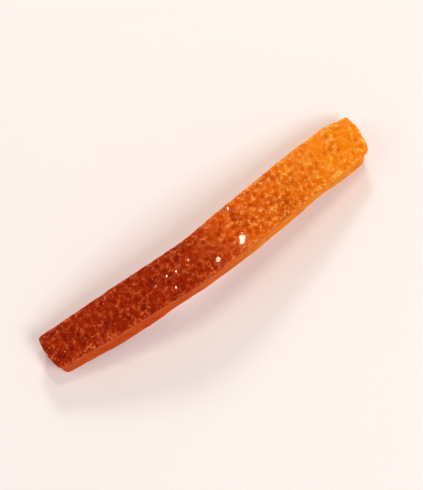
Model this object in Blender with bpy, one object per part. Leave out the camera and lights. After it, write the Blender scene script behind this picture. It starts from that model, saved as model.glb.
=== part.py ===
"""A strip of candied orange peel, cut with a knife and laid down with its rind up.

Units are metres. X runs along the strip, Y across it and Z up. The origin is on the plane
that the strip rests on, under the middle of its bounding box.

The strip is shaped flat first, as if the rind were unrolled: u runs along the rind, v
across it, and w is the height above the pith's underside. It is then bent into the arch
that it kept from the fruit, and its two feet are pressed flat.
"""

import math
import random

import bmesh
import bpy
import numpy as np
from mathutils import Vector, noise
from mathutils.geometry import delaunay_2d_cdt

MM = 0.001

# The cut piece, measured on the rind
LENGTH = 61.0 * MM
WIDTH = 7.0 * MM
THICKNESS = 4.6 * MM
RIND = 1.5 * MM

# How far the cut is from a true rectangle
SWELL = 0.5 * MM
TAPER = 1.4 * MM
CORNER_CUT = 0.9 * MM
CORNER_RUN = 4.0 * MM
WANDER = 0.22 * MM
WANDER_SCALE = 9.0 * MM
END_SLANTS = {-1: -0.10, 1: 0.19}
END_BULGES = {-1: 0.5 * MM, 1: 0.7 * MM}
CORNER = 0.4 * MM

# The section across the strip
CROWN_RADIUS = 34.0 * MM
RIM_RADIUS = 0.28 * MM
PITH_RADIUS = 0.85 * MM
SHRINK = 0.2 * MM
LEAN = 0.35 * MM
LEAN_WANDER = 0.7 * MM
LEAN_SCALE = 13.0 * MM
THICKER_LEFT = 0.3 * MM
RIPPLE = 0.13 * MM
RIPPLE_SIZE = 5.5 * MM

# Oil glands of the rind, sunk into pits, and the ridges between them
PIT_PITCH = 1.25 * MM
PIT_RADIUS = 0.6 * MM
PIT_RADIUS_SHARES = (0.75, 1.15)
PIT_STRETCHES = (1.0, 1.5)
PIT_DEPTH = 0.29 * MM
PIT_DEPTH_SHARES = (0.1, 1.35)
PIT_JITTER = 0.36 * MM
RIDGE = 0.07 * MM
PIT_SEED = 11

# Unevenness of the cut sides and of the pith
WALL_ROUGH = 0.17 * MM
WALL_GRAIN = 1.7 * MM
PITH_LUMPS = 0.36 * MM
PITH_LUMP_SIZE = 4.2 * MM
PITH_ROUGH = 0.16 * MM
PITH_GRAIN = 1.4 * MM

# The arch, with a crease where the strip once folded, askew, so that it also bends sideways
END_SLOPE = math.radians(10.0)
KINK = math.radians(4.0)
KINK_AT = -4.5 * MM
KINK_SPAN = 3.0 * MM
SIDE_KINK = math.radians(6.0)
SIDE_CURL = math.radians(2.0)
CREASE = 0.16 * MM
CREASE_SPAN = 0.6 * MM
TWIST = math.radians(3.0)
FOOT_PRESS = 0.7 * MM

# Each kind of unevenness reads its own layer of one noise
NOISE_LAYERS = ["far cut", "near cut", "ripple", "ridge", "lumps", "pith", "side", "lean"]
LAYER_GAP = 9.37

# Spacing of the points of the mesh, and how far past the middle their lattices reach, as a
# share of the strip
REACH = 0.8
DENSE_STEP = 0.1 * MM
RIM_STEP = 0.62 * MM
RIND_STEP = PIT_PITCH / 3
PITH_STEP = 1.05 * MM
CORNER_ROUNDS = 8
TURN_ROUNDS = 6
RIM_BANDS = 2
WALL_BANDS = 5
PITH_BANDS = 2
ARCH_STEPS = 2000

# The fill of a loop keeps only what is inside it, and joins points nearer than this, in mm
FILL_INSIDE = 1
SAME_POINT = 1e-6


def smooth_noise(points, size, layer):
    """Perlin noise of about -1 to 1, with features of the given size. Flat points will do."""
    shift = Vector((LAYER_GAP * (1 + NOISE_LAYERS.index(layer)), 0, 0))
    return np.array([noise.noise(Vector((*p, 0)[:3]) / size + shift) for p in points])


def half_width(u, side):
    """Half the width at u, on the far side (1) or the near side (-1) of the midline."""
    share = u / LENGTH
    swell = SWELL / 2 * np.cos(math.pi * share)
    into_corner = np.clip((u - LENGTH / 2 + CORNER_RUN) / CORNER_RUN, 0, 1)
    corner = CORNER_CUT * into_corner * (side > 0)
    return WIDTH / 2 + swell - corner + TAPER / 2 * share


def end_of(side, v):
    """Where the strip ends along u, at v, on the right (1) or the left (-1)."""
    bulge = END_BULGES[side] * (1 - (2 * v / WIDTH) ** 2)
    return side * (LENGTH / 2 + bulge) + END_SLANTS[side] * v


def along(start, stop):
    return np.linspace(start, stop, max(2, round(abs(stop - start) / DENSE_STEP)), endpoint=False)


def edge_at(side, u):
    """Where the long cut on one side lies at u. It wanders a little, as a knife does."""
    layer = "far cut" if side > 0 else "near cut"
    flat = np.column_stack([u, np.zeros_like(u)])
    return side * (half_width(u, side) + WANDER * smooth_noise(flat, WANDER_SCALE, layer))


def corner(end_side, edge_side):
    """The point where an end meets a long cut."""
    v = np.array([edge_side * WIDTH / 2])
    for _ in range(CORNER_ROUNDS):
        v = edge_at(edge_side, end_of(end_side, v))
    return end_of(end_side, v)[0], v[0]


def long_cut(side, start, stop):
    u = along(start[0], stop[0])
    return np.column_stack([u, edge_at(side, u)])


def end_cut(side, start, stop):
    v = along(start[1], stop[1])
    return np.column_stack([end_of(side, v), v])


def dense_outline():
    """The cut's outline, a closed loop that runs anticlockwise as seen from above."""
    near_left, near_right = corner(-1, -1), corner(1, -1)
    far_right, far_left = corner(1, 1), corner(-1, 1)
    loop = np.vstack([
        long_cut(-1, near_left, near_right),
        end_cut(1, near_right, far_right),
        long_cut(1, far_right, far_left),
        end_cut(-1, far_left, near_left),
    ])
    for _ in range(round((CORNER / DENSE_STEP) ** 2)):
        loop = (np.roll(loop, 1, axis=0) + 2 * loop + np.roll(loop, -1, axis=0)) / 4
    return loop


def resampled(loop, step):
    """The loop's points at an even spacing, and the outward direction at each, which turns
    gently at the corners, so that an inset loop doesn't fold there."""
    closed = np.vstack([loop, loop[:1]])
    run = np.concatenate([[0], np.cumsum(np.linalg.norm(np.diff(closed, axis=0), axis=1))])
    at = np.linspace(0, run[-1], round(run[-1] / step), endpoint=False)
    points = np.column_stack([np.interp(at, run, closed[:, k]) for k in (0, 1)])
    tangent = np.roll(points, -1, axis=0) - np.roll(points, 1, axis=0)
    outward = np.column_stack([tangent[:, 1], -tangent[:, 0]])
    for _ in range(TURN_ROUNDS):
        outward /= np.linalg.norm(outward, axis=1)[:, None]
        outward = (np.roll(outward, 1, axis=0) + 2 * outward + np.roll(outward, -1, axis=0)) / 4
    return points, outward / np.linalg.norm(outward, axis=1)[:, None]


def inside(points, margin):
    """Which flat points lie within the cut, by at least a margin."""
    u, v = points[:, 0], points[:, 1]
    across = np.where(v > 0, half_width(u, 1) - v, half_width(u, -1) + v)
    lengthwise = np.minimum(end_of(1, v) - u, u - end_of(-1, v))
    return np.minimum(across, lengthwise) > margin


def lattice(step):
    """A triangular lattice of flat points over the whole strip."""
    columns = round(REACH * LENGTH / step)
    rows = round(REACH * WIDTH / step)
    return np.array([
        ((i + j / 2) * step, j * step * math.sqrt(3) / 2)
        for j in range(-rows, rows + 1)
        for i in range(-columns - j // 2, columns - j // 2 + 1)
    ])


def oil_pits():
    """The pits of the rind, each as its place, its radius across, how much longer it is than
    it is wide, which way it points, and its depth."""
    draw = random.Random(PIT_SEED)
    return np.array([
        (u + PIT_JITTER * draw.uniform(-1, 1), v + PIT_JITTER * draw.uniform(-1, 1),
         PIT_RADIUS * draw.uniform(*PIT_RADIUS_SHARES), draw.uniform(*PIT_STRETCHES),
         math.pi * draw.random(), PIT_DEPTH * draw.uniform(*PIT_DEPTH_SHARES))
        for u, v in lattice(PIT_PITCH)
    ])


def pit_depth(points, pits):
    """How far the pits sink the rind at flat points."""
    u, v, radius, stretch, turn, depth = pits.T
    off_u, off_v = points[:, 0, None] - u, points[:, 1, None] - v
    lengthwise = (off_u * np.cos(turn) + off_v * np.sin(turn)) / stretch
    across = off_v * np.cos(turn) - off_u * np.sin(turn)
    bowl = np.clip(1 - (np.hypot(lengthwise, across) / radius) ** 2, 0, None) ** 2
    return (bowl * depth).max(axis=1)


def rind_height(points, pits):
    """The height of the rind above the pith's underside."""
    u, v = points[:, 0], points[:, 1]
    crown = THICKNESS - THICKER_LEFT * u / LENGTH - v**2 / (2 * CROWN_RADIUS)
    crease = CREASE * np.exp(-(((u - KINK_AT) / CREASE_SPAN) ** 2))
    ripple = RIPPLE * smooth_noise(points, RIPPLE_SIZE, "ripple")
    ridge = RIDGE * smooth_noise(points, PIT_PITCH, "ridge")
    return crown - crease + ripple + ridge - pit_depth(points, pits)


def pith_height(points):
    """The lumps of the pith's underside."""
    lumps = PITH_LUMPS * smooth_noise(points, PITH_LUMP_SIZE, "lumps")
    return lumps + PITH_ROUGH * smooth_noise(points, PITH_GRAIN, "pith")


def levels():
    """The loops of the cut side from the rind down, each as (inset, share, lift): its height
    is that share of the way from the rind to the pith's underside, plus the lift. One of the
    loops is the line between the rind and the pith."""
    rows = []
    for k in range(RIM_BANDS):
        turn = math.pi / 2 * k / RIM_BANDS
        rows.append((RIM_RADIUS * (1 - math.sin(turn)), 0, -RIM_RADIUS * (1 - math.cos(turn))))
    for share in [0, *np.linspace(RIND / THICKNESS, 1, WALL_BANDS)]:
        shrunk = SHRINK * (share + math.sin(math.pi * share) ** 2)
        rows.append((shrunk, share, -RIM_RADIUS + (RIM_RADIUS + PITH_RADIUS) * share))
    for k in range(PITH_BANDS - 1, -1, -1):
        turn = math.pi / 2 * k / PITH_BANDS
        inset = SHRINK + PITH_RADIUS * (1 - math.sin(turn))
        rows.append((inset, 1, PITH_RADIUS * (1 - math.cos(turn))))
    return rows


def leaned(points):
    """How far the cut leans to the near side, from the rind to the underside of the pith."""
    flat = np.column_stack([points[:, 0], np.zeros(len(points))])
    return LEAN + LEAN_WANDER * smooth_noise(flat, LEAN_SCALE, "lean")


def wall_loops(pits):
    """Every loop of points round the cut side, top to bottom."""
    rim, outward = resampled(dense_outline(), RIM_STEP)
    lean = leaned(rim)
    loops = []
    for inset, share, lift in levels():
        plan = rim - inset * outward
        plan[:, 1] -= lean * share
        height = (1 - share) * rind_height(plan, pits) + share * pith_height(plan) + lift
        grain = smooth_noise(np.column_stack([plan, height]), WALL_GRAIN, "side")
        plan += (WALL_ROUGH * math.sin(math.pi * share) * grain)[:, None] * outward
        loops.append(np.column_stack([plan, height]))
    return loops


def filled(loop, points):
    """Triangles over a loop and the points inside it, as indices into the loop and then
    the points, anticlockwise from above."""
    count = len(loop)
    flat = [Vector(p) for p in np.vstack([loop[:, :2], points[:, :2]]) / MM]
    rim = [(k, (k + 1) % count) for k in range(count)]
    _, _, faces, origins, _, _ = delaunay_2d_cdt(flat, rim, [], FILL_INSIDE, SAME_POINT)
    return [[origins[k][0] for k in face] for face in faces]


def bend(u):
    """How far the rind's midline has turned at u, upwards and to the far side."""
    fold = np.tanh((u - KINK_AT) / KINK_SPAN)
    pitch = -END_SLOPE * np.sin(math.pi * u / LENGTH) - KINK * fold
    return pitch, SIDE_KINK * fold + SIDE_CURL * u / LENGTH


def arched(flat):
    """Flat points bent along the arch, about the rind, which keeps its length."""
    table = np.linspace(-REACH * LENGTH, REACH * LENGTH, ARCH_STEPS)
    pitch, yaw = bend(table)
    ahead = [np.cos(pitch) * np.cos(yaw), np.cos(pitch) * np.sin(yaw), np.sin(pitch)]
    midline = [np.cumsum(part) * (table[1] - table[0]) for part in ahead]

    u, v, below = flat[:, 0], flat[:, 1], flat[:, 2] - THICKNESS
    turn = TWIST * u / LENGTH
    v, below = v * np.cos(turn) - below * np.sin(turn), v * np.sin(turn) + below * np.cos(turn)
    pitch, yaw = bend(u)
    across = np.column_stack([-np.sin(yaw), np.cos(yaw), np.zeros_like(yaw)])
    up = np.column_stack([
        -np.sin(pitch) * np.cos(yaw), -np.sin(pitch) * np.sin(yaw), np.cos(pitch)
    ])
    middle = np.column_stack([np.interp(u, table, part) for part in midline])
    return middle + v[:, None] * across + below[:, None] * up


def settled(points):
    """The strip centred, and levelled on its two feet, which are pressed flat."""
    points = points - (points.min(axis=0) + points.max(axis=0)) / 2
    left, right = [points[side * points[:, 0] > 0] for side in (-1, 1)]
    rise, reach = (right[right[:, 2].argmin()] - left[left[:, 2].argmin()])[[2, 0]]
    points[:, 2] -= points[:, 0] * rise / reach
    points[:, 2] -= points[:, 2].min() + FOOT_PRESS
    points[:, 2] = np.maximum(points[:, 2], 0)
    return points


def peel_shape():
    """The points and the faces of the whole strip, and how many of the first faces are rind."""
    pits = oil_pits()
    loops = wall_loops(pits)
    count = len(loops[0])
    top = lattice(RIND_STEP)
    top = top[inside(top, RIM_RADIUS + RIND_STEP)]
    top = np.column_stack([top, rind_height(top, pits)])
    under = lattice(PITH_STEP)
    under = under[inside(under, SHRINK + PITH_RADIUS + PITH_STEP / 2)]
    under[:, 1] -= leaned(under)
    under = np.column_stack([under, pith_height(under)])

    flat = np.vstack([*loops, top, under])
    top_start = len(loops) * count
    under_start = top_start + len(top)
    last = (len(loops) - 1) * count
    faces = []
    for face in filled(loops[0], top):
        faces.append([k if k < count else k - count + top_start for k in face])
    for row in range(len(loops) - 1):
        for k in range(count):
            beside = (k + 1) % count
            upper, lower = row * count, (row + 1) * count
            faces.append([upper + k, lower + k, lower + beside, upper + beside])
        if row == RIM_BANDS:
            rind_count = len(faces)
    for face in filled(loops[-1], under):
        faces.append([k + last if k < count else k - count + under_start for k in reversed(face)])
    return settled(arched(flat)), faces, rind_count


def material(name, colour, roughness):
    made = bpy.data.materials.new(name)
    made.use_nodes = True
    shader = made.node_tree.nodes["Principled BSDF"]
    shader.inputs["Base Color"].default_value = (*colour, 1)
    shader.inputs["Roughness"].default_value = roughness
    shader.inputs["Metallic"].default_value = 0
    made.diffuse_color = (*colour, 1)
    return made


def candied_peel():
    points, faces, rind_count = peel_shape()
    shape = bmesh.new()
    corners = [shape.verts.new(p) for p in points]
    for number, face in enumerate(faces):
        shape.faces.new([corners[k] for k in face]).material_index = int(number >= rind_count)
    mesh = bpy.data.meshes.new("candied_orange_peel")
    shape.to_mesh(mesh)
    shape.free()
    mesh.materials.append(material("rind", (0.80, 0.19, 0.012), 0.35))
    mesh.materials.append(material("pith", (0.90, 0.36, 0.03), 0.3))
    mesh.shade_smooth()
    peel = bpy.data.objects.new("candied_orange_peel", mesh)
    bpy.context.scene.collection.objects.link(peel)
    return peel


for old in list(bpy.data.objects):
    bpy.data.objects.remove(old)
candied_peel()
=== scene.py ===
"""The looks of a strip of candied orange peel: its fine relief, its syrup and sugar, its finishes.

Lengths are metres in the frame of the solid: X runs along the strip, Y across it and Z up. The
strip lies rind up, its amber end at +X and its red end at -X. A share of the way along it runs
from -0.5 at the red end to 0.5 at the amber end.
"""

import math

import bmesh
import bpy
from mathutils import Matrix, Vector


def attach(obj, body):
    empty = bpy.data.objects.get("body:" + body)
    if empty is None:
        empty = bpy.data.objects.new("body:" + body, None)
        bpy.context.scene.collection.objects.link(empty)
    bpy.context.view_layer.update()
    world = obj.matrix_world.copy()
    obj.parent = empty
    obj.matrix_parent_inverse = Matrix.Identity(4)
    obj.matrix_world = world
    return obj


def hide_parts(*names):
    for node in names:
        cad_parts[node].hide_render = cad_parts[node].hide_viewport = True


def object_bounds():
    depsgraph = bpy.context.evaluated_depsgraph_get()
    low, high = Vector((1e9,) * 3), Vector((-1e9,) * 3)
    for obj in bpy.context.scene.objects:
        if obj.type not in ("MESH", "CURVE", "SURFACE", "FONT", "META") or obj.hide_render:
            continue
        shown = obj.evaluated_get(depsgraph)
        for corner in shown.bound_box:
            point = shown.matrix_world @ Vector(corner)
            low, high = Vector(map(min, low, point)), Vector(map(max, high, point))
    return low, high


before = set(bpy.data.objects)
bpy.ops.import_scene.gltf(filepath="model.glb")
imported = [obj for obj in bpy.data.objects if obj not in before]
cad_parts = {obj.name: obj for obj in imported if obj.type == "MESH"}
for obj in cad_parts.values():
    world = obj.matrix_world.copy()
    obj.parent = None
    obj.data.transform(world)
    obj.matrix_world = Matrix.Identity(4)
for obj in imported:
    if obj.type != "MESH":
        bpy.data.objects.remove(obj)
cad_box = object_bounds()

MM = 0.001
STRIP = "candied_orange_peel"

# The strip's box, and how deep its rind goes
LOW, HIGH = cad_box
LENGTH = HIGH.x - LOW.x
RIND = 1.3 * MM

# The mesh of the strip: corners nearer than this are one, it is rounded so many times, and its
# even faces are this wide
SAME_CORNER = 0.001 * MM
ROUNDING = 2
FACE = 0.14 * MM

# Attributes that the relief leaves on the mesh for the finishes
DEPTH = "depth_below_rind"
RELIEF = "ridges_and_pits"
UNDERSIDE = "underside"


class Term:
    """A value in a node tree. A sum or a product of terms adds the Math nodes that make it."""

    def __init__(self, tree, socket):
        self.tree = tree
        self.socket = socket

    def worked(self, operation, *terms):
        sockets = dict(enumerate(terms))
        return self.tree.node("ShaderNodeMath", {"operation": operation}, sockets)["Value"]

    def __add__(self, other):
        return self.worked("ADD", self, other)

    def __radd__(self, other):
        return self.worked("ADD", other, self)

    def __sub__(self, other):
        return self.worked("SUBTRACT", self, other)

    def __rsub__(self, other):
        return self.worked("SUBTRACT", other, self)

    def __mul__(self, other):
        return self.worked("MULTIPLY", self, other)

    def __rmul__(self, other):
        return self.worked("MULTIPLY", other, self)

    def __truediv__(self, other):
        return self.worked("DIVIDE", self, other)

    def __rtruediv__(self, other):
        return self.worked("DIVIDE", other, self)

    def above(self, limit):
        return self.worked("GREATER_THAN", self, limit)

    def at_least(self, limit):
        return self.worked("MAXIMUM", self, limit)

    def size(self):
        """The term without its sign."""
        return self.worked("ABSOLUTE", self)

    def power(self, exponent):
        return self.worked("POWER", self, exponent)

    def eased(self, start, stop):
        """0 up to start and 1 from stop on, with a smooth way between. Start may be the larger."""
        settings = {"interpolation_type": "SMOOTHSTEP"}
        sockets = {"Value": self, "From Min": start, "From Max": stop}
        return self.tree.node("ShaderNodeMapRange", settings, sockets)["Result"]


class Node:
    """A node that has been added. An output is read by its name, as a term."""

    def __init__(self, tree, made):
        self.tree = tree
        self.made = made

    def __getitem__(self, name):
        return Term(self.tree, in_use(self.made.outputs, name))


def in_use(sockets, key):
    """The socket with that name, or at that place, among those that the node's settings show."""
    shown = [socket for socket in sockets if socket.enabled]
    if isinstance(key, int):
        return shown[key]
    return next(socket for socket in shown if socket.name == key)


class Tree:
    """A node tree that is being written."""

    def __init__(self, data):
        self.data = data

    def node(self, kind, settings=None, sockets=None):
        """Adds a node: its settings first, then the values or the links of its sockets."""
        made = self.data.nodes.new(kind)
        for name, value in (settings or {}).items():
            setattr(made, name, value)
        for key, value in (sockets or {}).items():
            self.fill(in_use(made.inputs, key), value)
        return Node(self, made)

    def fill(self, socket, value):
        if isinstance(value, Term):
            self.data.links.new(value.socket, socket)
        else:
            socket.default_value = value

    def vector(self, operation, *terms):
        sockets = dict(enumerate(terms))
        made = self.node("ShaderNodeVectorMath", {"operation": operation}, sockets)
        return made["Value" if operation == "DOT_PRODUCT" else "Vector"]

    def scaled(self, vector, factor):
        sockets = {"Vector": vector, "Scale": factor}
        return self.node("ShaderNodeVectorMath", {"operation": "SCALE"}, sockets)["Vector"]

    def joined(self, x, y, z):
        return self.node("ShaderNodeCombineXYZ", sockets={"X": x, "Y": y, "Z": z})["Vector"]

    def split(self, vector):
        parts = self.node("ShaderNodeSeparateXYZ", sockets={"Vector": vector})
        return parts["X"], parts["Y"], parts["Z"]

    def mixed(self, share, first, second, how="MIX"):
        settings = {"data_type": "RGBA", "blend_type": how}
        sockets = {"Factor": share, "A": first, "B": second}
        return self.node("ShaderNodeMix", settings, sockets)["Result"]

    def noise(self, place, size, detail=2.0, roughness=0.5):
        """Noise of about -1 to 1, with features of that size. A size may be a term."""
        sockets = {"Vector": place, "Scale": 1 / size, "Detail": detail, "Roughness": roughness}
        return self.node("ShaderNodeTexNoise", sockets=sockets)["Fac"] * 2 - 1

    def cells(self, place, size):
        """The distance to the nearest of some scattered points, as a share of their spacing."""
        sockets = {"Vector": place, "Scale": 1 / size}
        return self.node("ShaderNodeTexVoronoi", sockets=sockets)["Distance"]


class GeometryTree(Tree):
    """A tree that changes or makes geometry. What comes in is read by its name: the geometry,
    each size, and the target where there is one."""

    def __init__(self, name, sizes, target=None):
        super().__init__(bpy.data.node_groups.new(name, "GeometryNodeTree"))
        face = self.data.interface
        face.new_socket("Geometry", in_out="INPUT", socket_type="NodeSocketGeometry")
        for label, value in sizes.items():
            kind = "NodeSocketInt" if isinstance(value, int) else "NodeSocketFloat"
            face.new_socket(label, in_out="INPUT", socket_type=kind)
        if target:
            face.new_socket(target, in_out="INPUT", socket_type="NodeSocketObject")
        face.new_socket("Geometry", in_out="OUTPUT", socket_type="NodeSocketGeometry")
        self.given = self.node("NodeGroupInput")
        self.place = self.node("GeometryNodeInputPosition")["Position"]

    def __getitem__(self, name):
        return self.given[name]

    def normal(self):
        """The way that the surface faces."""
        return self.node("GeometryNodeInputNormal")["Normal"]

    def put(self, geometry, place):
        """The geometry with each of its points at a place."""
        sockets = {"Geometry": geometry, "Position": place}
        return self.node("GeometryNodeSetPosition", sockets=sockets)["Geometry"]

    def moved(self, geometry, offset):
        """The geometry with each of its points moved by an offset."""
        sockets = {"Geometry": geometry, "Offset": offset}
        return self.node("GeometryNodeSetPosition", sockets=sockets)["Geometry"]

    def store(self, geometry, name, value):
        """The geometry with a number left on each of its points."""
        settings = {"data_type": "FLOAT", "domain": "POINT"}
        sockets = {"Geometry": geometry, "Name": name, "Value": value}
        return self.node("GeometryNodeStoreNamedAttribute", settings, sockets)["Geometry"]

    def stored(self, name):
        """A number that has been left on the geometry."""
        settings = {"data_type": "FLOAT"}
        return self.node("GeometryNodeInputNamedAttribute", settings, {"Name": name})["Attribute"]

    def blurred(self, value, kind, rounds):
        sockets = {"Value": value, "Iterations": rounds}
        return self.node("GeometryNodeBlurAttribute", {"data_type": kind}, sockets)["Value"]

    def near(self, geometry, place):
        """The nearest place on the faces of a geometry, and its distance."""
        settings = {"target_element": "FACES"}
        sockets = {"Geometry": geometry, "Sample Position": place}
        found = self.node("GeometryNodeProximity", settings, sockets)
        return found["Position"], found["Distance"]

    def drawn(self, low, high, seed, kind="FLOAT"):
        """A value from low to high, drawn for each point on its own."""
        sockets = {"Min": low, "Max": high, "Seed": seed}
        return self.node("FunctionNodeRandomValue", {"data_type": kind}, sockets)["Value"]

    def scattered(self, share):
        """Points over what comes in, a spacing or more apart, of which that share is kept."""
        settings = {"distribute_method": "POISSON"}
        sockets = {
            "Mesh": self["Geometry"],
            "Distance Min": self["Spacing"],
            "Density Max": 1 / (self["Spacing"] * self["Spacing"]),
            "Density Factor": share,
            "Seed": self["Seed"],
        }
        return self.node("GeometryNodeDistributePointsOnFaces", settings, sockets)

    def ball(self, rounds):
        """A ball of radius 1, from an icosahedron that is refined that many rounds."""
        sockets = {"Radius": 1.0, "Subdivisions": rounds}
        return self.node("GeometryNodeMeshIcoSphere", sockets=sockets)["Mesh"]

    def instanced(self, points, thing, turn, scale):
        """A thing at each point."""
        sockets = {"Points": points, "Instance": thing, "Rotation": turn, "Scale": scale}
        return self.node("GeometryNodeInstanceOnPoints", sockets=sockets)["Instances"]

    def real(self, instances):
        sockets = {"Geometry": instances}
        return self.node("GeometryNodeRealizeInstances", sockets=sockets)["Geometry"]

    def end(self, geometry, material, smooth=True):
        """Ends the tree: instances made real, shaded and given their material."""
        sockets = {"Geometry": self.real(geometry), "Shade Smooth": smooth}
        shaded = self.node("GeometryNodeSetShadeSmooth", sockets=sockets)["Geometry"]
        sockets = {"Geometry": shaded, "Material": material}
        finished = self.node("GeometryNodeSetMaterial", sockets=sockets)["Geometry"]
        self.node("NodeGroupOutput", sockets={"Geometry": finished})


def placed(name, data):
    """An object of its own for a mesh, a lamp or a camera."""
    made = bpy.data.objects.new(name, data)
    bpy.context.scene.collection.objects.link(made)
    return made


def run(tree, base, name, values):
    """What a geometry tree makes of a mesh object, as a plain mesh object of its own."""
    modifier = base.modifiers.new(name, "NODES")
    modifier.node_group = tree.data
    for socket in tree.data.interface.items_tree:
        if socket.in_out == "INPUT" and socket.name in values:
            modifier[socket.identifier] = values[socket.name]
    graph = bpy.context.evaluated_depsgraph_get()
    mesh = bpy.data.meshes.new_from_object(base.evaluated_get(graph), depsgraph=graph)
    base.modifiers.remove(modifier)
    mesh.name = name
    return placed(name, mesh)


def linear(red, green, blue):
    """A colour given as 8-bit sRGB, in the shader's linear units."""
    parts = [part / 255 for part in (red, green, blue)]
    return (*[p / 12.92 if p <= 0.04045 else ((p + 0.055) / 1.055) ** 2.4 for p in parts], 1)


# Colours of the rind and its ridges from the red end to the amber end, and of what the knife
# laid bare. The darker red end is partly the peel's own colour and partly painted shade, and the
# brighter amber end partly painted light
RED_RIND = linear(158, 31, 5)
ORANGE_RIND = linear(215, 84, 8)
AMBER_RIND = linear(252, 144, 12)
# The ridge colours are partly sugar crust and partly painted highlight
RED_RIDGE = linear(230, 110, 54)
AMBER_RIDGE = linear(255, 192, 86)
RIND_FLESH = linear(216, 92, 14)
RED_PITH = linear(190, 66, 8)
PITH = linear(240, 134, 18)
PALE_RED_PITH = linear(212, 98, 22)
PALE_PITH = linear(250, 176, 58)

# Shades that those are multiplied by, the tint of the peel's shine, and the grains' own colour
PIT_SHADE = linear(224, 172, 136)
DEEP_SHADE = linear(206, 150, 120)
GLAND_SHADE = linear(196, 112, 62)
SPONGE_SHADE = linear(222, 150, 96)
SHINE = linear(255, 176, 84)
SUGAR = linear(255, 168, 110)

# Shares of the way along the strip between which its colours and its marks change, and how far
# each place strays from its own share
STRAY = 0.08
RED_TO_ORANGE = (-0.12, 0.07)
ORANGE_TO_AMBER = (0.0, 0.56)
RIDGES_TO_AMBER = (-0.12, 0.22)
PITH_TO_AMBER = (-0.25, 0.35)
SHALLOW_PITS = (0.0, 0.3)
CLEAN_TIP = (0.15, 0.4)
THICKER_CRUST_AND_HIGHLIGHT = (-0.1, 0.5)

# Sizes of the marks of the peel, in mm: on the rind, in the pith, and its finest bumps
WARP = 7.0
BLOTCH = 2.6
MOTTLE = 0.9
GLOSS_PATCH = 1.8
STREAK = 0.75
STREAK_GAP = 1.2
SPECK = 0.45
PITH_GRAIN = 0.35
PITH_PORE = 0.8
FINE_GRAIN = 0.22
DIMPLE = 0.42

# Sizes of the marks of the syrup, the sugar and the threads, in mm
RIPPLE = 0.5
SUGAR_STAIN = 0.6
SUGAR_GLOSS = 0.2
THREAD_SHADE = 0.9
THREAD_GLOSS = 0.3

# Heights over the strip's own smooth shape, in mm, between which a place becomes a ridge, stands
# too high for crust and painted highlight, or becomes a pit, a hollow of a cut side or a hollow of
# the underside
RIDGE = (-0.01, 0.04)
HIGH_RIDGE = (0.14, 0.09)
PIT = (0.0, -0.10)
SIDE_HOLLOW = (-0.01, -0.09)
HOLLOW = (0.0, -0.12)

# Depths below the rind, in mm, between which its colour ends, its gloss ends and its flesh turns
# to pith, and how far that last edge waves
COLOUR_EDGE = (0.55, 0.15)
GLOSS_EDGE = (0.0, 0.08)
PITH_EDGE = (0.6 * RIND / MM, 1.2 * RIND / MM)
EDGE_WAVE = 0.3


class Finish(Tree):
    """A material that is being written. Places on the piece are in mm."""

    def __init__(self, name, uniform):
        self.material = bpy.data.materials.new(name)
        self.material.use_nodes = True
        super().__init__(self.material.node_tree)
        self.shader = self.data.nodes["Principled BSDF"]
        for label, value in uniform.items():
            self.shader.inputs[label].default_value = value
        self.place = self.scaled(self.node("ShaderNodeTexCoord")["Object"], 1 / MM)

    def attribute(self, name):
        return self.node("ShaderNodeAttribute", {"attribute_name": name})["Fac"]

    def give(self, label, value):
        """Feeds a socket of the shader with what changes over the surface."""
        self.fill(self.shader.inputs[label], value)

    def bump(self, height, depth, strength):
        sockets = {"Strength": strength, "Distance": depth, "Height": height}
        self.give("Normal", self.node("ShaderNodeBump", sockets=sockets)["Normal"])


def share_along(look):
    """The share of the way along the strip, which strays so that the colours change in waves."""
    x, _, _ = look.split(look.place)
    return x / (LENGTH / MM) + STRAY * look.noise(look.place, WARP)


def rind_colour(look, share):
    """Red at one end of the strip, orange, and amber at the other end: partly the peel's own colour,
    partly painted shade at the darker red end and painted light at the brighter amber end.
    """
    warm = look.mixed(share.eased(*RED_TO_ORANGE), RED_RIND, ORANGE_RIND)
    return look.mixed(share.eased(*ORANGE_TO_AMBER), warm, AMBER_RIND)


def ridge_colour(look, share):
    """The paler colour of the rind's ridges, partly sugar crust and partly painted highlight."""
    return look.mixed(share.eased(*RIDGES_TO_AMBER), RED_RIDGE, AMBER_RIDGE)


def pith_colours(look, share):
    """The pith, and its palest threads, darker towards the red end partly by their own colour and
    partly by painted shade.
    """
    amber = share.eased(*PITH_TO_AMBER)
    return look.mixed(amber, RED_PITH, PITH), look.mixed(amber, PALE_RED_PITH, PALE_PITH)


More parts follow.
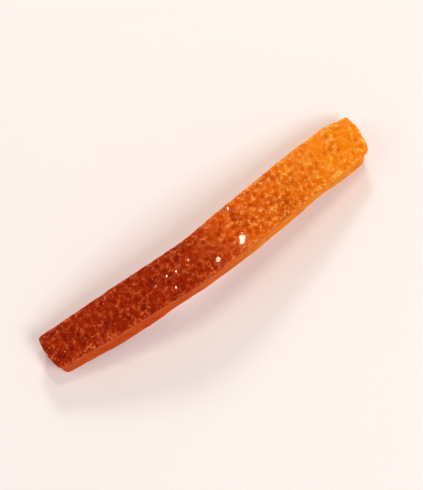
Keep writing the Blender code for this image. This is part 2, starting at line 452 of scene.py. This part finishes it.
class PeelFinish(Finish):
    """Rind, cut sides and pith of the candied strip, soaked with syrup and half clear."""

    def __init__(self):
        super().__init__("candied peel", {
            "IOR": 1.46,
            "Specular IOR Level": 0.32,
            "Specular Tint": SHINE,
            "Subsurface Weight": 0.5,
            "Subsurface Radius": (1.0, 0.34, 0.10),
            "Subsurface Scale": 0.6 * MM,
        })
        self.depth = self.attribute(DEPTH) / MM
        self.relief = self.attribute(RELIEF) / MM
        self.under = self.attribute(UNDERSIDE)
        self.on_rind = self.depth.eased(*COLOUR_EDGE)
        self.pit = self.relief.eased(*PIT)
        self.blotch = self.noise(self.place, BLOTCH, 3.0)
        self.share = share_along(self)
        self.crust_and_highlight = self.sugar_crust_and_highlight()

        rind = self.rind()
        pith, pale = self.pith()
        cut = self.mixed(self.under, self.side(rind, pith), self.underside(pith, pale))
        self.give("Base Color", self.mixed(self.on_rind, cut, rind))
        self.give("Roughness", self.roughness())
        self.bump(self.height(), 0.05 * MM, 0.7)

    def sugar_crust_and_highlight(self):
        """How much the ridges between the pits are paled, in specks and thin streaks: partly dried
        sugar and partly painted highlight.
        """
        ridge = self.relief.eased(*RIDGE) * (0.25 + 0.75 * self.relief.eased(*HIGH_RIDGE))
        streak = self.noise(self.place, STREAK, 1.0).size().eased(0.20, 0.03)
        streak = streak * self.noise(self.place, STREAK_GAP, 1.0).eased(-0.1, 0.2)
        speck = self.noise(self.place, SPECK, 2.0, 0.6).eased(0.0, 0.3)
        thick = 0.72 + 0.3 * self.share.eased(*THICKER_CRUST_AND_HIGHLIGHT)
        return ridge * (speck * 0.6 + streak * 0.8) * thick

    def rind(self):
        """The rind with its darker blotches, its pits darkened partly by their own tone and partly by
        painted shade, and its pale crust, which is partly painted highlight, cleanest at the tip.
        """
        mottle = self.noise(self.place, MOTTLE, 2.0)
        clean = 1 - 0.6 * self.share.eased(*CLEAN_TIP)
        # Pits are darker partly by their own tone and partly by painted shade
        pit_tone_and_shade = self.pit * (0.9 - 0.3 * self.share.eased(*SHALLOW_PITS))
        dark_blotch = self.blotch.eased(0.1, -0.5) * 0.8 * clean
        dark_mottle = mottle.eased(-0.05, -0.5) * 0.5 * clean
        rind = self.mixed(dark_blotch, rind_colour(self, self.share), DEEP_SHADE, "MULTIPLY")
        rind = self.mixed(pit_tone_and_shade, rind, PIT_SHADE, "MULTIPLY")
        rind = self.mixed(dark_mottle, rind, DEEP_SHADE, "MULTIPLY")
        # Pale crust on the ridges, partly sugar and partly painted highlight
        pale = (self.crust_and_highlight + 0.3 * mottle.eased(0.05, 0.5)) * 0.95
        return self.mixed(pale, rind, ridge_colour(self, self.share))

    def pith(self):
        """The pith with its grain along the strip, and its palest threads."""
        pith, pale = pith_colours(self, self.share)
        pith = self.mixed((0.35 * self.blotch + 0.05).at_least(0), pith, pale)
        drawn_out = self.vector("MULTIPLY", self.place, (0.3, 1.0, 1.0))
        grain = self.noise(drawn_out, PITH_GRAIN, 2.0)
        pith = self.mixed(grain.eased(0.05, 0.4) * 0.25, pith, pale)
        return self.mixed(grain.eased(-0.05, -0.4) * 0.6, pith, SPONGE_SHADE, "MULTIPLY"), pale

    def side(self, rind, pith):
        """A cut side: flesh of the rind above, pith below, and darker where it dips below its smooth
        shape, partly the cut glands' own tone and partly painted shade in these hollows.
        """
        wavy = self.depth + EDGE_WAVE * self.noise(self.place, MOTTLE)
        flesh = self.mixed(0.5, RIND_FLESH, rind)
        side = self.mixed(wavy.eased(*PITH_EDGE), flesh, pith)
        # Darker in the hollows of the cut side: partly the glands' own tone, partly painted shade
        return self.mixed(self.relief.eased(*SIDE_HOLLOW) * 0.8, side, GLAND_SHADE, "MULTIPLY")

    def underside(self, pith, pale):
        """Paler pith, darker in its pores, and with painted shade in its hollows."""
        drawn_out = self.vector("MULTIPLY", self.place, (0.5, 1.0, 1.0))
        pores = self.cells(drawn_out, PITH_PORE).eased(0.45, 0.1)
        below = self.mixed(pores * 0.6, self.mixed(0.35, pith, pale), SPONGE_SHADE, "MULTIPLY")
        # Painted shade in the hollows of the underside
        return self.mixed(self.relief.eased(*HOLLOW) * 0.5, below, SPONGE_SHADE, "MULTIPLY")

    def roughness(self):
        """Glossier in pits and in patches, rougher on crust and on the cut sides."""
        gloss = self.noise(self.place, GLOSS_PATCH).eased(-0.1, 0.5)
        rough = 0.26 + 0.06 * self.blotch + 0.10 * self.crust_and_highlight - 0.06 * self.pit - 0.12 * gloss
        return rough + 0.5 * self.depth.eased(*GLOSS_EDGE)

    def height(self):
        """Fine grain all over, and crust and dimples on the rind."""
        grain = self.noise(self.place, FINE_GRAIN, 3.0, 0.6)
        dimples = self.cells(self.place, DIMPLE).eased(0.45, 0.05)
        return grain * (0.7 + 0.6 * self.under) + (0.9 * self.crust_and_highlight - 0.7 * dimples) * self.on_rind


def syrup_finish():
    """Syrup that has run together and dried clear over the rind."""
    look = Finish("dried syrup", {
        "IOR": 1.49,
        "Subsurface Weight": 0.3,
        "Subsurface Radius": (1.0, 0.4, 0.12),
        "Subsurface Scale": 0.15 * MM,
        "Coat Roughness": 0.02,
    })
    share = share_along(look)
    ripple = look.noise(look.place, RIPPLE)
    rind, ridge = rind_colour(look, share), ridge_colour(look, share)
    look.give("Base Color", look.mixed(0.2 + 0.2 * ripple, rind, ridge))
    look.give("Roughness", 0.06 + 0.04 * ripple)
    look.give("Coat Weight", 0.8 + 0.2 * ripple)
    look.bump(ripple, 0.02 * MM, 0.3)
    return look.material


def sugar_finish():
    """Grains of sugar, which take some of the peel's colour."""
    look = Finish("sugar grains", {
        "IOR": 1.54,
        "Subsurface Weight": 0.4,
        "Subsurface Radius": (1.0, 0.6, 0.35),
        "Subsurface Scale": 0.05 * MM,
    })
    stain = 0.35 + 0.25 * look.noise(look.place, SUGAR_STAIN)
    look.give("Base Color", look.mixed(stain, SUGAR, rind_colour(look, share_along(look))))
    look.give("Roughness", 0.14 + 0.08 * look.noise(look.place, SUGAR_GLOSS))
    return look.material


def thread_finish():
    """Loose threads of the pith."""
    look = Finish("pith threads", {
        "IOR": 1.46,
        "Subsurface Weight": 0.5,
        "Subsurface Radius": (1.0, 0.5, 0.2),
        "Subsurface Scale": 0.1 * MM,
    })
    pith, pale = pith_colours(look, share_along(look))
    shade = 0.3 + 0.3 * look.noise(look.place, THREAD_SHADE)
    look.give("Base Color", look.mixed(shade, pith, pale))
    look.give("Roughness", 0.30 + 0.1 * look.noise(look.place, THREAD_GLOSS))
    return look.material


# Sizes of the fine relief of the strip. The edges, and the start and the band of the glands, are
# depths below the rind
PEEL_RELIEF = {
    "Rind Edge": 0.05 * MM,
    "Side Edge": 0.35 * MM,
    "Pit Gain": 0.1,
    "Wrinkle Size": 0.6 * MM,
    "Wrinkle Height": 0.08 * MM,
    "Gland Edge": 0.20 * MM,
    "Gland Start": 0.45 * MM,
    "Gland Band": RIND,
    "Gland Spacing": 1.0 * MM,
    "Gland Reach": 0.5,
    "Gland Depth": 0.30 * MM,
    "Knife Length": 3.2 * MM,
    "Knife Width": 0.30 * MM,
    "Knife Height": 0.07 * MM,
    "Sponge Size": 1.3 * MM,
    "Sponge Height": 0.30 * MM,
    "Foot Height": 0.35 * MM,
    "Blur Rounds": 18,
}

# How far up the faces of the rind look, and how far down those of the underside, as the height
# of a normal of length 1
LOOKS_UP = 0.5
LOOKS_DOWN = (-0.3, -0.75)


def relief_masks(tree):
    """The strip with its masks left on it: its depth below the rind, how far it stands proud of
    its own smooth shape, and its underside."""
    _, _, up = tree.split(tree.normal())
    sockets = {"Geometry": tree["Geometry"], "Selection": up.above(LOOKS_UP)}
    rind = tree.node("GeometryNodeSeparateGeometry", {"domain": "FACE"}, sockets)["Selection"]
    _, depth = tree.near(rind, tree.place)
    smooth = tree.blurred(tree.place, "FLOAT_VECTOR", tree["Blur Rounds"])
    proud = tree.vector("DOT_PRODUCT", tree.vector("SUBTRACT", tree.place, smooth), tree.normal())
    under = tree.blurred(up, "FLOAT", tree["Blur Rounds"]).eased(*LOOKS_DOWN)
    geometry = tree["Geometry"]
    for name, value in [(DEPTH, depth), (RELIEF, proud), (UNDERSIDE, under)]:
        geometry = tree.store(geometry, name, value)
    return geometry


def rind_height(tree, proud):
    """Wrinkles, and pits that are a little deeper than the solid's."""
    wrinkles = tree.noise(tree.place, tree["Wrinkle Size"], 3.0) * tree["Wrinkle Height"]
    return wrinkles + proud * tree["Pit Gain"]


def side_height(tree, depth):
    """Marks of the knife along the strip, and glands that it cut open in a band by the rind."""
    band = depth.eased(tree["Gland Edge"], tree["Gland Start"])
    band = band * depth.eased(tree["Gland Band"], 0.7 * tree["Gland Band"])
    bowl = tree.cells(tree.place, tree["Gland Spacing"]).eased(tree["Gland Reach"], 0.0)
    mark = tree.joined(tree["Knife Length"], tree["Knife Width"], tree["Knife Width"])
    marks = tree.noise(tree.vector("DIVIDE", tree.place, mark), 1.0) * tree["Knife Height"]
    return marks - bowl * band * tree["Gland Depth"]


def relief_tree(material):
    """Wrinkles on the rind, cut oil glands and knife marks on the sides, and the sponge of the
    pith below. The feet stay flat, and nothing goes below the floor."""
    tree = GeometryTree("peel relief", PEEL_RELIEF)
    masked = relief_masks(tree)
    depth, proud, under = [tree.stored(name) for name in (DEPTH, RELIEF, UNDERSIDE)]
    on_rind = depth.eased(tree["Side Edge"], tree["Rind Edge"])
    on_side = (1 - on_rind) * (1 - under)
    sponge = tree.noise(tree.place, tree["Sponge Size"], 3.0, 0.55) * tree["Sponge Height"]
    height = rind_height(tree, proud) * on_rind + side_height(tree, depth) * on_side
    x, y, z = tree.split(tree.place)
    height = (height + sponge * under) * z.eased(0.0, tree["Foot Height"])
    carved = tree.moved(masked, tree.scaled(tree.normal(), height))
    tree.end(tree.put(carved, tree.joined(x, y, z.at_least(0.0))), material)
    return tree


def even_copy(node):
    """A copy of a solid with its corners joined, rounded, and cut into even faces."""
    shape = bmesh.new()
    shape.from_mesh(node.data)
    bmesh.ops.remove_doubles(shape, verts=shape.verts, dist=SAME_CORNER)
    mesh = bpy.data.meshes.new("even peel")
    shape.to_mesh(mesh)
    shape.free()
    made = placed("even peel", mesh)
    rounded = made.modifiers.new("rounded", "SUBSURF")
    rounded.levels = rounded.render_levels = ROUNDING
    even = made.modifiers.new("even", "REMESH")
    even.mode = "VOXEL"
    even.voxel_size = FACE
    return made


def dressed(piece, replaced=None):
    """Fixes a piece to the strip's body, and hides the part of the solid that it replaces, if there
    is one.
    """
    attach(piece, "root")
    if replaced:
        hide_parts(replaced)


def candied_strip():
    base = even_copy(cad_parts[STRIP])
    strip = run(relief_tree(PeelFinish().material), base, "peel", PEEL_RELIEF)
    bpy.data.objects.remove(base)
    dressed(strip, STRIP)
    return strip


# Beads of syrup, in clumps over the top and the sides
BEADS = {
    "Spacing": 1.6 * MM,
    "Clump Size": 5.0 * MM,
    "Smallest": 0.10 * MM,
    "Largest": 0.30 * MM,
    "Flatness": 0.45,
    "Seed": 5,
}


def bead_tree(material):
    tree = GeometryTree("syrup beads", BEADS)
    _, _, up = tree.split(tree.normal())
    clumps = tree.noise(tree.place, tree["Clump Size"]).eased(0.0, 0.35)
    points = tree.scattered(up.eased(-0.3, 0.3) * clumps)
    draw = tree.drawn(0.0, 1.0, tree["Seed"])
    width = tree["Smallest"] + (tree["Largest"] - tree["Smallest"]) * draw * draw
    scale = tree.joined(width, width * (0.8 + 0.2 * draw), width * tree["Flatness"])
    beads = tree.instanced(points["Points"], tree.ball(2), points["Rotation"], scale)
    tree.end(beads, material)
    return tree


# Grains of sugar in patches on the rind, thicker towards the red end between two places along it
GRAINS = {
    "Spacing": 1.0 * MM,
    "Patch Size": 4.0 * MM,
    "Thin From": 4.0 * MM,
    "Thick From": -6.0 * MM,
    "Smallest": 0.04 * MM,
    "Largest": 0.16 * MM,
    "Seed": 8,
}


def grain_tree(material):
    tree = GeometryTree("sugar grains", GRAINS)
    _, _, up = tree.split(tree.normal())
    x, _, _ = tree.split(tree.place)
    patches = tree.noise(tree.place, tree["Patch Size"]).eased(-0.1, 0.4)
    thick = 0.15 + 0.85 * x.eased(tree["Thin From"], tree["Thick From"])
    points = tree.scattered(up.eased(0.2, 0.7) * patches * thick)
    draw = tree.drawn((0.0, 0.0, 0.0), (1.0, 1.0, 1.0), tree["Seed"], "FLOAT_VECTOR")
    smallest = tree.joined(tree["Smallest"], tree["Smallest"], tree["Smallest"])
    widths = tree.vector("ADD", smallest, tree.scaled(draw, tree["Largest"] - tree["Smallest"]))
    turn = tree.scaled(draw, 2 * math.pi)
    grains = tree.instanced(points["Points"], tree.ball(1), turn, widths)
    tree.end(grains, material, smooth=False)
    return tree


# Drops of syrup on the rind: where each lies along and across the strip, and its width, in mm
DROPS = [
    (3.4, -3.4, 2.8),
    (-1.7, -3.9, 1.7),
    (4.6, 2.1, 0.8),
    (-5.2, -1.1, 0.6),
    (-7.7, -1.5, 0.8),
    (-9.2, -1.1, 0.7),
    (-9.2, -3.4, 0.7),
    (-11.6, -1.4, 0.7),
]
DROP_WIDTH = "drop_width"
DROP_SHAPE = {
    "Slimness": 0.66,
    "Flatness": 0.12,
    "Turn": -0.85,
    "Levelling": 3.0,
    "Edge Size": 1.0 * MM,
    "Edge Wander": 0.25 * MM,
}


def drop_points():
    """A mesh of loose points over the strip, one for each drop."""
    mesh = bpy.data.meshes.new("drop points")
    mesh.from_pydata([(x * MM, y * MM, HIGH.z) for x, y, _ in DROPS], [], [])
    widths = mesh.attributes.new(DROP_WIDTH, "FLOAT", "POINT")
    widths.data.foreach_set("value", [width * MM for _, _, width in DROPS])
    return placed("drop points", mesh)


def flat_ball(tree):
    """A ball of width 1 with a flattened top and steep edges."""
    x, y, z = tree.split(tree.place)
    return tree.put(tree.ball(4), tree.joined(0.5 * x, 0.5 * y, 0.5 * z / z.size().power(0.5)))


def drop_tree(material):
    """Lets each point fall on the strip, and lays a flat drop there, more level than the rind."""
    tree = GeometryTree("syrup drops", DROP_SHAPE, "Strip")
    strip = tree.node("GeometryNodeObjectInfo", sockets={"Object": tree["Strip"]})["Geometry"]
    sockets = {"Target Geometry": strip, "Ray Direction": (0.0, 0.0, -1.0)}
    fall = tree.node("GeometryNodeRaycast", sockets=sockets)
    points = tree.put(tree["Geometry"], fall["Hit Position"])
    level = tree.vector("ADD", fall["Hit Normal"], tree.joined(0.0, 0.0, tree["Levelling"]))
    sockets = {"Rotation": tree.joined(0.0, 0.0, tree["Turn"]), "Vector": level}
    lie = tree.node("FunctionNodeAlignRotationToVector", {"axis": "Z"}, sockets)["Rotation"]
    width = tree.stored(DROP_WIDTH)
    scale = tree.joined(width * tree["Slimness"], width, width * tree["Flatness"])
    drops = tree.real(tree.instanced(points, flat_ball(tree), lie, scale))
    outward = tree.vector("MULTIPLY", tree.normal(), (1.0, 1.0, 0.0))
    wander = tree.noise(tree.place, tree["Edge Size"], 0.0) * tree["Edge Wander"]
    tree.end(tree.moved(drops, tree.scaled(outward, wander)), material)
    return tree


# Threads of pith that lie half sunk along the underside. There are fewer of them near the floor
# and none at the feet, and each tapers to a share of its girth
THREADS = {
    "Spacing": 1.5 * MM,
    "None Below": 0.3 * MM,
    "Fewer Below": 1.0 * MM,
    "Shortest": 1.0 * MM,
    "Longest": 4.0 * MM,
    "Thickness": 0.10 * MM,
    "End Girth": 0.25,
    "Sinking": 0.04 * MM,
    "Wander Size": 2.2 * MM,
    "Wander": 0.9 * MM,
    "Turn": 0.5,
    "Points": 12,
    "Sides": 5,
    "Seed": 3,
}


def straight_thread(tree):
    """A line of length 1 along the strip, in short steps."""
    sockets = {"Start": (-0.5, 0.0, 0.0), "End": (0.5, 0.0, 0.0)}
    line = tree.node("GeometryNodeCurvePrimitiveLine", sockets=sockets)["Curve"]
    sockets = {"Curve": line, "Count": tree["Points"]}
    return tree.node("GeometryNodeResampleCurve", sockets=sockets)["Curve"]


def with_girth(tree, lines):
    """Lines made round and solid, thickest halfway along."""
    way = tree.node("GeometryNodeSplineParameter")["Factor"]
    girth = tree["End Girth"] + 4 * (1 - tree["End Girth"]) * way * (1 - way)
    sockets = {"Radius": tree["Thickness"], "Resolution": tree["Sides"]}
    ring = tree.node("GeometryNodeCurvePrimitiveCircle", sockets=sockets)["Curve"]
    sockets = {"Curve": lines, "Profile Curve": ring, "Scale": girth, "Fill Caps": True}
    return tree.node("GeometryNodeCurveToMesh", sockets=sockets)["Mesh"]


def thread_tree(material):
    """Short lines along the strip, which wander over its surface and taper to their ends."""
    tree = GeometryTree("pith threads", THREADS)
    _, _, z = tree.split(tree.place)
    clear = z.eased(tree["None Below"], tree["Fewer Below"])
    points = tree.scattered(tree.stored(UNDERSIDE) * clear)["Points"]
    turn = tree.joined(0.0, 0.0, tree.drawn(-1.0, 1.0, tree["Seed"]) * tree["Turn"])
    length = tree.drawn(tree["Shortest"], tree["Longest"], tree["Seed"] + 1)
    scale = tree.joined(length, length, length)
    threads = tree.real(tree.instanced(points, straight_thread(tree), turn, scale))
    wander = tree.noise(tree.place, tree["Wander Size"], 1.0) * tree["Wander"]
    threads = tree.moved(threads, tree.joined(0.0, wander, 0.0))
    surface, _ = tree.near(tree["Geometry"], tree.place)
    sunk = tree.vector("ADD", surface, tree.joined(0.0, 0.0, tree["Sinking"]))
    tree.end(with_girth(tree, tree.put(threads, sunk)), material)
    return tree


def whole_strip():
    """The strip with its beads and drops of syrup, its threads of pith and its sugar."""
    strip = candied_strip()
    syrup = syrup_finish()
    dressed(run(bead_tree(syrup), strip, "syrup_beads", BEADS))
    points = drop_points()
    dressed(run(drop_tree(syrup), points, "syrup_drops", {**DROP_SHAPE, "Strip": strip}))
    bpy.data.objects.remove(points)
    dressed(run(thread_tree(thread_finish()), strip, "pith_threads", THREADS))
    dressed(run(grain_tree(sugar_finish()), strip, "sugar_grains", GRAINS))


# The floor: half its width in metres, and its two tints, which change over so many mm
FLOOR_REACH = 2.0
FLOOR_TINTS = (linear(253, 247, 246), linear(255, 250, 250))
FLOOR_CLOUDS = 60.0


def pale_floor():
    mesh = bpy.data.meshes.new("floor")
    shape = bmesh.new()
    bmesh.ops.create_grid(shape, x_segments=1, y_segments=1, size=FLOOR_REACH)
    shape.to_mesh(mesh)
    shape.free()
    floor = placed("floor", mesh)
    look = Finish("pale table", {"Roughness": 0.7, "Specular IOR Level": 0.2})
    clouds = 0.5 + 0.5 * look.noise(look.place, FLOOR_CLOUDS)
    look.give("Base Color", look.mixed(clouds, *FLOOR_TINTS))
    mesh.materials.append(look.material)


# The room: its colours level with the floor and overhead, where it darkens, and its strength
ROOM_WALLS = linear(252, 243, 240)
ROOM_CEILING = linear(97, 88, 80)
CEILING_EDGE = (0.05, 0.7)
ROOM_STRENGTH = 0.98


def pale_room():
    """Soft light from all round, paler from the walls than from the ceiling."""
    world = bpy.data.worlds.new("pale room")
    world.use_nodes = True
    tree = Tree(world.node_tree)
    _, _, up = tree.split(tree.node("ShaderNodeTexCoord")["Generated"])
    backdrop = world.node_tree.nodes["Background"]
    tree.fill(backdrop.inputs["Color"], tree.mixed(up.eased(*CEILING_EDGE), ROOM_WALLS, ROOM_CEILING))
    backdrop.inputs["Strength"].default_value = ROOM_STRENGTH
    bpy.context.scene.world = world


# Square lamps: azimuth and elevation in degrees, distance and width in metres, power and colour
WHITE = (1.0, 1.0, 1.0)
WARM = (1.0, 0.86, 0.66)
LAMPS = {
    "soft": (10, 50, 0.5, 0.25, 1.16, WHITE),
    "ridge": (150, 32, 0.5, 0.10, 0.76, WHITE),
    "glint": (130, 68, 0.5, 0.08, 0.3, WARM),
    "far_glint": (148, 65, 0.5, 0.03, 0.15, WARM),
    "fill": (-110, 40, 0.6, 0.35, 0.67, WHITE),
}

# The camera: azimuth and elevation in degrees, then in metres its distance, the height of its
# view and the nearest that it sees. The picture is higher than wide, so the width of the sensor
# lies along its height
VIEW_AZIMUTH = -36.8
VIEW_ELEVATION = 70.0
VIEW_DISTANCE = 0.36
VIEW_HEIGHT = 0.075
VIEW_NEAREST = 0.01


def aim(thing, azimuth, elevation, distance):
    """Puts a lamp or a camera round the strip, looking at its middle."""
    turn, rise = math.radians(azimuth), math.radians(elevation)
    back = Vector((math.sin(turn) * math.cos(rise), -math.cos(turn) * math.cos(rise), math.sin(rise)))
    thing.location = (LOW + HIGH) / 2 + back * distance
    thing.rotation_euler = back.to_track_quat("Z", "Y").to_euler()


def lamps():
    for name, (azimuth, elevation, distance, width, power, colour) in LAMPS.items():
        data = bpy.data.lights.new(name, "AREA")
        data.size = width
        data.energy = power
        data.color = colour
        aim(placed(name, data), azimuth, elevation, distance)


def camera():
    data = bpy.data.cameras.new("view")
    data.lens = data.sensor_width * VIEW_DISTANCE / VIEW_HEIGHT
    data.clip_start = VIEW_NEAREST
    made = placed("view", data)
    aim(made, VIEW_AZIMUTH, VIEW_ELEVATION, VIEW_DISTANCE)
    bpy.context.scene.camera = made


bpy.context.scene.view_settings.view_transform = "Standard"
whole_strip()
pale_floor()
pale_room()
lamps()
camera()
